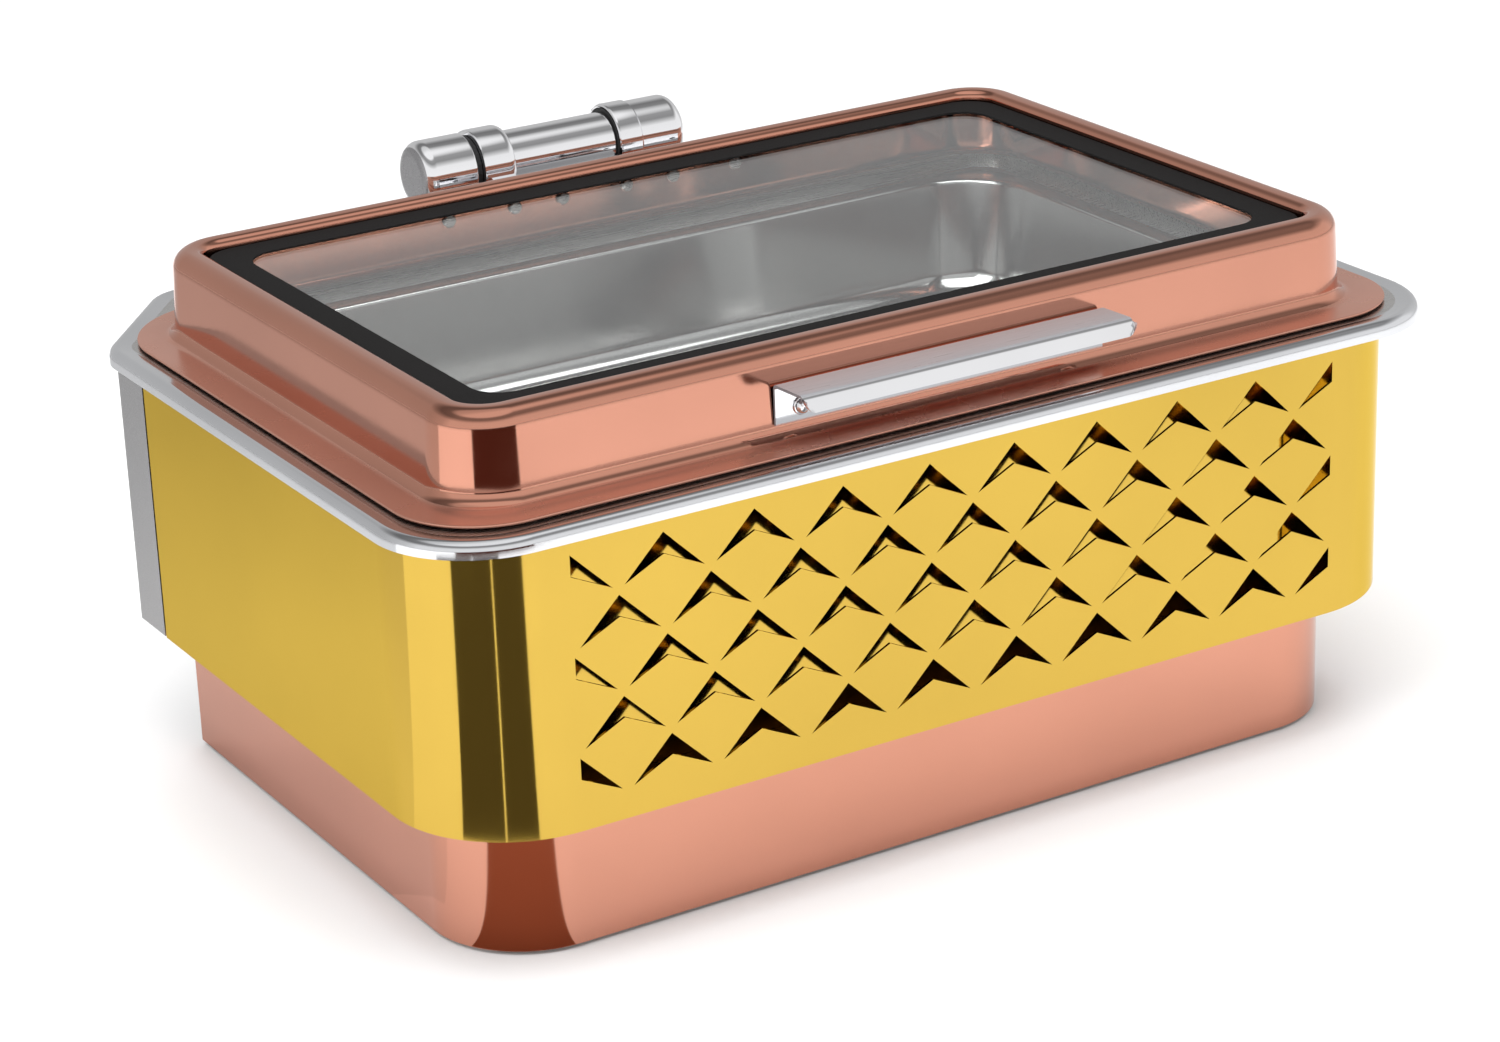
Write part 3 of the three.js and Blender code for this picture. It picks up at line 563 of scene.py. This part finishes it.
b_in, b_out, b_top = BORDER["inner"], BORDER["inset"], BORDER["top"]
seal = [(b_out, bottom), (b_out, b_top - 0.6), (b_out + 0.2, b_top - 0.2), (b_out + 0.7, b_top),
        (b_in - 0.6, b_top), (b_in - 0.1, b_top - 0.3), (b_in, b_top - 0.7), (b_in, top + GAP),
        (inset - GAP, top + GAP), (inset - GAP, bottom)]


def seal_radius(at, _):
    """Corner radius of the border, between its outer and inner edge."""
    share = (at - b_out) / (b_in - b_out)
    return BORDER["corner"] + (BORDER["inner_corner"] - BORDER["corner"]) * share


place("window_border", *skin(rings(lid_corners(0), seal, seal_radius), hoop=True), SEAL,
      "lid_unit", "window_seal")


# ---- handle --------------------------------------------------------------------------------------
def thicken(path, thick):
    """The two faces of a bent sheet, half its thickness to each side of a (y, z) path."""
    left, right = [], []
    for i, (y, z) in enumerate(path):
        y0, z0 = path[max(i - 1, 0)]
        y1, z1 = path[min(i + 1, len(path) - 1)]
        length = math.hypot(y1 - y0, z1 - z0)
        ny, nz = -(z1 - z0) / length, (y1 - y0) / length
        left.append((y + ny * thick / 2, z + nz * thick / 2))
        right.append((y - ny * thick / 2, z - nz * thick / 2))
    return left, right


front_wall = PAN_Y - LID["y"] + LID["inset"]
plate_y = front_wall - GAP - SHEET / 2
crease_y = plate_y - HANDLE["reach"]
crease_z = HANDLE["top"] + HANDLE["rise"]
lip_z = crease_z - HANDLE["lip"]
path = ([(plate_y, HANDLE["bottom"]), (plate_y, HANDLE["top"] - 4)]
        + arc(plate_y - 2, HANDLE["top"] - 2, 2, 0, 75, 8)
        + arc(crease_y + 3, crease_z - 3.4, 3, 95, 165, 10)
        + [(crease_y - HANDLE["lip_out"] * (1 - s / LIP_STEPS[0]), lip_z + s) for s in LIP_STEPS])


def handle_mesh():
    """Columns of the thickened section. Towards the ends the lip is cut to a rounded corner."""
    left, right = thicken(path, SHEET)
    half, turn = HANDLE["half"], HANDLE["turn"]
    lip = len(path) - len(LIP_STEPS)
    columns = [-half + turn * (1 - math.cos(math.radians(90 * i / 10))) for i in range(11)]
    columns = columns + [-x for x in reversed(columns)]
    stack = []
    for x in columns:
        reach = max(turn - (half - abs(x)), 0)
        floor = lip_z - 0.2 + turn - math.sqrt(max(turn ** 2 - reach ** 2, 0))
        section = [(y, max(z, floor) if i >= lip else z) for i, (y, z) in enumerate(left)]
        other = [(y, max(z, floor) if i >= lip else z) for i, (y, z) in enumerate(right)]
        stack.append([(x, y, z) for y, z in section + other[::-1]])
    return skin(stack)


grip = place("lid_grip", *handle_mesh(), CHROME, "lid_unit", "lid_handle", angle=50)
refinish(grip, HOOD_SATIN, lambda middle: crease_y + 1 < middle.y < plate_y - 1)
face = plate_y - SHEET / 2
for side, x in (("left", -HANDLE_SCREW[0]), ("right", HANDLE_SCREW[0])):
    centre = (x, 0, HANDLE_SCREW[1])
    washer = turned([(2.4, face - GAP), (4.5, face - GAP), (4.8, face - GAP - 0.3),
                     (4.5, face - GAP - 0.8), (2.4, face - GAP - 0.9)], "Y", centre, 40)
    place(f"grip_washer_{side}", *washer, CHROME, "lid_unit", f"handle_washer_{side}")
    seat = face - GAP - 0.9 - GAP
    head = [(0, seat - 1.2), (1.0, seat - 1.2), (1.2, seat - 2.3), (2.6, seat - 2.1),
            (3.4, seat - 1.3), (3.7, seat - 0.5), (3.7, seat), (2, seat), (2, seat + 12), (0, seat + 12)]
    place(f"grip_screw_{side}", *turned(head, "Y", centre, 40), CHROME, "lid_unit",
          f"handle_screw_{side}")


# ---- hinge ---------------------------------------------------------------------------------------
def hinge(profile, steps=72):
    return turned(profile, "X", (0, HINGE_Y, HINGE_Z), steps)


def pedestal(x0, x1):
    """The curved arm from the deck up to a fixed ring of the hinge."""
    base = RIM["deck"] + GAP - HINGE_Z
    arm = [(-33, base), (-10.5, base), (-10.5, base + 7), (-6, -26.5), (7, -17), (2, -6), (-8, -3),
           (-19, -6), (-25, -18), (-33, base + 6)]
    return prism_x([(y + HINGE_Y, z + HINGE_Z) for y, z in arm], x0, x1)


half, knuckle, r, eye = BARREL["half"], BARREL["knuckle"], BARREL["r"], BARREL["eye"]
end, ring_end = BARREL["dome"], BARREL["ring_end"]
cap_left = [(0, -half)] + arc(r - end, -half + end, end, 270, 360, 14)
cap_left += [(r, -knuckle - 1), (r - 0.3, -knuckle - 0.3), (r - 1, -knuckle), (eye, -knuckle),
             (eye, -half + 4), (0, -half + 4)]
cap = place("knuckle_left", *join(hinge(cap_left), pedestal(-half + 4, -knuckle - 2)), CHROME,
            "stand", "hinge_knuckle_left")
refinish(cap, END_SATIN, lambda middle: middle.x < 2 - half)

neck = HINGE_R - 1.9
ring = [(eye, 43.5), (neck, 43.5), (neck, 40.7), (HINGE_R - 1.5, 40.5), (HINGE_R - 0.5, 40.8),
        (HINGE_R, 41.8), (HINGE_R, ring_end - 0.6), (HINGE_R - 0.6, ring_end), (eye, ring_end)]
place("knuckle_right", *join(hinge(ring), pedestal(44, 55)), CHROME, "stand", "hinge_knuckle_right")
start = ring_end + GAP
closed = [(0, start), (r - 0.4, start), (r, start + 0.4)] + arc(r - end, half - end, end, 0, 90, 14)
closed += [(0, half)]
cap = place("cap_right", *hinge(closed), CHROME, "stand", "hinge_cap_right")
refinish(cap, END_SATIN, lambda middle: middle.x > half - 2)

tube, inner = BARREL["tube"], BARREL["bore"]
pipe = [(inner, -46.5), (tube - 0.4, -46.5), (tube, -46.1), (tube, 39.3), (tube - 0.4, 39.7),
        (inner, 39.7)]
place("barrel_tube", *hinge(pipe), CHROME, "lid_unit", "hinge_tube")

back_wall = PAN_Y + LID["y"] - LID["inset"] + GAP
back = back_wall + LEAF["thick"]


def leaf_web():
    """The web under the tube, which runs down and forward to the plate on the lid's rear wall."""
    low = [(back - 1, LEAF["bottom"] + 3), (HINGE_Y - 10, HINGE_Z - 20.6)]
    seat = arc(HINGE_Y, HINGE_Z, tube + GAP, 255, 184, 12)
    high = [(HINGE_Y - 26, HINGE_Z - 4), (back - 1, LEAF["top"] - 4)]
    return prism_x(low + seat + high, *WEB_X)


plate = skin(rings([(-LEAF["half"], back_wall, 1.2, 3), (LEAF["half"], back_wall, 1.2, 3),
                    (LEAF["half"], back, 1.5, 4), (-LEAF["half"], back, 1.5, 4)],
                   [(0.6, LEAF["bottom"]), (0, LEAF["bottom"] + 0.6), (0, LEAF["top"] - 0.6),
                    (0.6, LEAF["top"])]))
taper = []
for i in range(1, 11):
    a = math.radians(9 * i)
    taper.append((HINGE_R - 2.2 * (1 - math.cos(a)), -33 + 4.4 * math.sin(a)))
collar = hinge([(tube + GAP, -49.5), (HINGE_R - 1.2, -49.5), (HINGE_R - 0.3, -49.2), (HINGE_R, -48.3),
                (HINGE_R, -33)] + taper + [(tube + GAP, -28.6)])
place("leaf", *join(plate, collar, leaf_web()), CHROME, "lid_unit", "hinge_leaf")

head_y = back_wall - GAP - SHEET - GAP - 0.9
for i, x in enumerate(LEAF_SCREW_X):
    centre = (x, 0, LEAF_SCREW_Z)
    if abs(x) == MIDDLE_SCREW_X:
        head = [(0, head_y - 1.1), (1.3, head_y - 1.1), (1.5, head_y - 2), (3, head_y - 1.8),
                (3.8, head_y - 1), (4, head_y), (2, head_y), (2, back), (0, back)]
    else:
        head = [(0, head_y - 1.6), (3.3, head_y - 1.5), (3.9, head_y - 1), (4, head_y), (2, head_y),
                (2, back), (0, back)]
    place(f"leaf_fixing_{i + 1}", *turned(head, "Y", centre, 36), SATIN, "lid_unit",
          f"leaf_screw_{i + 1}")


# ---- fuel cups and snuffers ----------------------------------------------------------------------
def block(x0, x1, y0, y1, z0, z1):
    return skin([[(x0, y0, z), (x1, y0, z), (x1, y1, z), (x0, y1, z)] for z in (z0, z1)])


floor, top, r = CUP["floor"], CUP["top"], CUP["r"]
for side, x in (("left", -CUP["x"]), ("right", CUP["x"])):
    unit, y = f"fuel_cup_{side}_unit", CUP["y"]
    pin_y = y + CUP["pin"]
    wall = [(0, floor), (r - 3, floor), (r - 0.9, floor + 0.9), (r, floor + 3), (r, top - 0.4),
            (r - 0.4, top), (r - 1.1, top), (r - 1.5, top - 0.4), (r - 1.5, floor + 4),
            (r - 4, floor + 1.5), (0, floor + 1.5)]
    lug = block(x - 5, x + 5, y + r - 1, pin_y + 5, top - 12, top - 9)
    place(f"cup_{side}", *join(turned(wall, "Z", (x, y, 0), 72), lug), SATIN, unit,
          f"fuel_cup_{side}")
    pin = [(0, top - 13.5), (2.2, top - 13.5), (2.2, top + 3), (3.6, top + 3), (4, top + 3.4),
           (4, top + 4.4), (3.2, top + 5), (0, top + 5)]
    place(f"cup_pin_{side}", *turned(pin, "Z", (x, pin_y, 0), 36), SATIN, unit,
          f"snuffer_pin_{side}")
    low = top + GAP
    cover = [(0, low), (r + 1.1, low), (r + 1.5, low + 0.4), (r + 1.5, low + 1.1),
             (r + 1.1, low + 1.5), (3.6, low + 1.5), (3, low + 2.1), (3, low + 6.4), (4, low + 7.4),
             (7.2, low + 8.8), (8, low + 9.8), (8, low + 11), (7, low + 12), (0, low + 12)]
    ear = plate_with_hole([(x + u, v) for u, v in ((-6, y + r - 2), (6, y + r - 2), (6, pin_y + 6),
                                                   (-6, pin_y + 6))],
                          arc(x, pin_y, 2.6, 0, 345, 23), low, low + 1.5)
    place(f"cup_cover_{side}", *join(turned(cover, "Z", (x, y, 0), 72), ear), SATIN,
          f"snuffer_{side}_unit", f"snuffer_{side}")


# ---- finishes on the pieces kept from the frame --------------------------------------------------
# Satin steel, apart from these.
KEPT = {
    "body_shelf": DARK_STEEL, "rear_panel": REAR_SATIN, "lattice_backing": GOLD,
    "foot_front_left": RUBBER, "foot_front_right": RUBBER, "foot_rear_left": RUBBER,
    "foot_rear_right": RUBBER, "hinge_bush_left": PLASTIC, "hinge_bush_right": PLASTIC,
}
for name, node in nodes.items():
    material = KEPT.get(name, SATIN)
    node.data.materials.clear()
    node.data.materials.append(material)


# ---- studio: pale floor, graded surround, softboxes, cards seen only in reflections --------------
FLOOR_HALF = 9                   # metres, as everything in the studio
CARD_Z = 0.001
FADE = 1.2


def stage_mesh(name, verts, faces, material):
    mesh = bpy.data.meshes.new(name)
    mesh.from_pydata(verts, [], faces)
    obj = bpy.data.objects.new(name, mesh)
    bpy.context.scene.collection.objects.link(obj)
    obj.data.materials.append(material)
    return obj


floor_finish = Finish("floor_white", grey(0.86), 0.9, 0)
floor_finish.color_from(floor_finish.noise(3), [(0.3, grey(0.85)), (0.7, grey(0.88))])
floor_corners = [(FLOOR_HALF * sx, FLOOR_HALF * sy, 0) for sx, sy in ((-1, -1), (1, -1), (1, 1), (-1, 1))]
stage_mesh("floor", floor_corners, [(0, 1, 2, 3)], floor_finish.mat)


def dark_card(name, color):
    f = Finish(name, color, 1, 0, Specular_IOR_Level=0)
    f.bump(f.noise(40), 0.1, 0.001)
    return f.mat


def card(name, centre, start, stop, near, far, material):
    """A wedge just over the floor, between two bearings and two distances from a corner's centre.

    Bearings turn from the front, positive to the right. The card is seen only in reflections, as
    the boards round a product and the gaps between them are in polished metal."""
    verts, steps = [], 12
    for i in range(steps + 1):
        a = math.radians(start + (stop - start) * i / steps)
        for reach in (near, far):
            verts.append((centre[0] + reach * math.sin(a), centre[1] - reach * math.cos(a), CARD_Z))
    faces = [(2 * i, 2 * i + 1, 2 * i + 3, 2 * i + 2) for i in range(steps)]
    board = stage_mesh(name, verts, faces, material)
    board.visible_camera = False
    board.visible_diffuse = False
    board.visible_shadow = False


def fading_card(name, centre, stops):
    """A card's grey that changes with the distance from a point, in shares of FADE."""
    f = Finish(name, grey(0.5), 1, 0, Specular_IOR_Level=0)
    distance = f.tree.nodes.new("ShaderNodeVectorMath")
    distance.operation = "DISTANCE"
    distance.inputs[1].default_value = (centre[0], centre[1], 0)
    f.tree.links.new(f.coords, distance.inputs[0])
    share = f.tree.nodes.new("ShaderNodeMath")
    share.operation = "DIVIDE"
    share.inputs[1].default_value = FADE
    f.tree.links.new(distance.outputs["Value"], share.inputs[0])
    f.color_from(share.outputs["Value"], [(at, grey(level)) for at, level in stops])
    return f.mat


def corner_centre(spec):
    """Centre of the curve at a wall's front left corner, in metres."""
    return (spec["corner"] - spec["x"]) * MM, (spec["corner"] + spec["front"]) * MM


BODY_CORNER = corner_centre(SKIRT)
PLINTH_CORNER = corner_centre(PLINTH)
GREY_CARD = dark_card("card_grey", (0.07, 0.065, 0.06, 1))
BROWN_CARD = dark_card("card_brown", (0.26, 0.12, 0.07, 1))
RED_CARD = dark_card("card_red", (0.06, 0.022, 0.016, 1))
card("card_plinth", PLINTH_CORNER, -63, -3, 0.058, 0.215, BROWN_CARD)
card("card_body_left", BODY_CORNER, -68.5, -37.1, 0.225, 0.70, GREY_CARD)
card("card_body_right", BODY_CORNER, -35.9, -13, 0.225, 0.70, GREY_CARD)
card("card_lid", BODY_CORNER, -51, 22.5, 0.71, 3.2, RED_CARD)
side_grey = fading_card("card_side", BODY_CORNER, [(0.1, 0.76), (0.35, 0.64), (0.7, 0.46), (1, 0.44)])
card("card_side", BODY_CORNER, -178, -112, 0.08, 3.2, side_grey)

world = bpy.data.worlds.new("studio")
bpy.context.scene.world = world
world.use_nodes = True
sky = world.node_tree


def sky_level(axis, stops):
    """Grey level of the surround by how far a direction points along one axis."""
    return color_ramp(sky, axis, [(position, grey(level)) for position, level in stops])


direction = sky.nodes.new("ShaderNodeTexCoord")
split = sky.nodes.new("ShaderNodeSeparateXYZ")
sky.links.new(direction.outputs["Generated"], split.inputs["Vector"])
by_height = sky_level(split.outputs["Z"], [(0.0, 1.0), (0.5, 0.95), (0.72, 0.3), (0.84, 0.35),
                                           (0.9, 1.0), (1.0, 1.0)])
by_depth = sky_level(split.outputs["Y"], [(0.0, 0.95), (0.25, 0.7), (0.7, 0.56)])
both = sky.nodes.new("ShaderNodeVectorMath")
both.operation = "MULTIPLY"
sky.links.new(by_height, both.inputs[0])
sky.links.new(by_depth, both.inputs[1])
sky.links.new(both.outputs["Vector"], sky.nodes["Background"].inputs["Color"])
sky.nodes["Background"].inputs["Strength"].default_value = 1


def softbox(name, location, aim, size, power):
    """Soft area light that polished metal doesn't mirror."""
    light = bpy.data.lights.new(name, "AREA")
    light.shape = "RECTANGLE"
    light.size, light.size_y = size
    light.energy = power
    obj = bpy.data.objects.new(name, light)
    bpy.context.scene.collection.objects.link(obj)
    obj.location = location
    obj.rotation_euler = (Vector(aim) - Vector(location)).to_track_quat("-Z", "Y").to_euler()
    obj.visible_glossy = False


softbox("softbox_top", (-0.3, -0.6, 2.6), (0, 0, 0), (3.2, 2.6), 82)
softbox("softbox_left", (-2.4, -0.6, 2.2), (0, 0, 0.1), (1.6, 1.8), 29)
softbox("softbox_back", (1.0, 2.4, 2.6), (0, 0, 0.1), (2.4, 1.6), 25)

# Plain colour without a film curve, as product pictures on white have it.
bpy.context.scene.view_settings.view_transform = "Standard"

# ---- camera --------------------------------------------------------------------------------------
CAMERA_AT = (-1.03742, -1.74196, 0.90832)
SENSOR_MM = 36
FOCAL_MM = 94.06488

yaw, pitch, roll = (math.radians(a) for a in (-30.857, 21.383, -2.060))
back_dir = Vector((math.sin(yaw) * math.cos(pitch), -math.cos(yaw) * math.cos(pitch), math.sin(pitch)))
right = (-back_dir).cross(Vector((0, 0, 1))).normalized()
up = right.cross(-back_dir)
cam_x = math.cos(roll) * right + math.sin(roll) * up
cam_y = -math.sin(roll) * right + math.cos(roll) * up
camera_data = bpy.data.cameras.new("camera")
camera_data.sensor_width = SENSOR_MM
camera_data.lens = FOCAL_MM
camera = bpy.data.objects.new("camera", camera_data)
bpy.context.scene.collection.objects.link(camera)
rotation = Matrix((cam_x, cam_y, back_dir)).transposed().to_4x4()
camera.matrix_world = Matrix.Translation(CAMERA_AT) @ rotation
bpy.context.scene.camera = camera
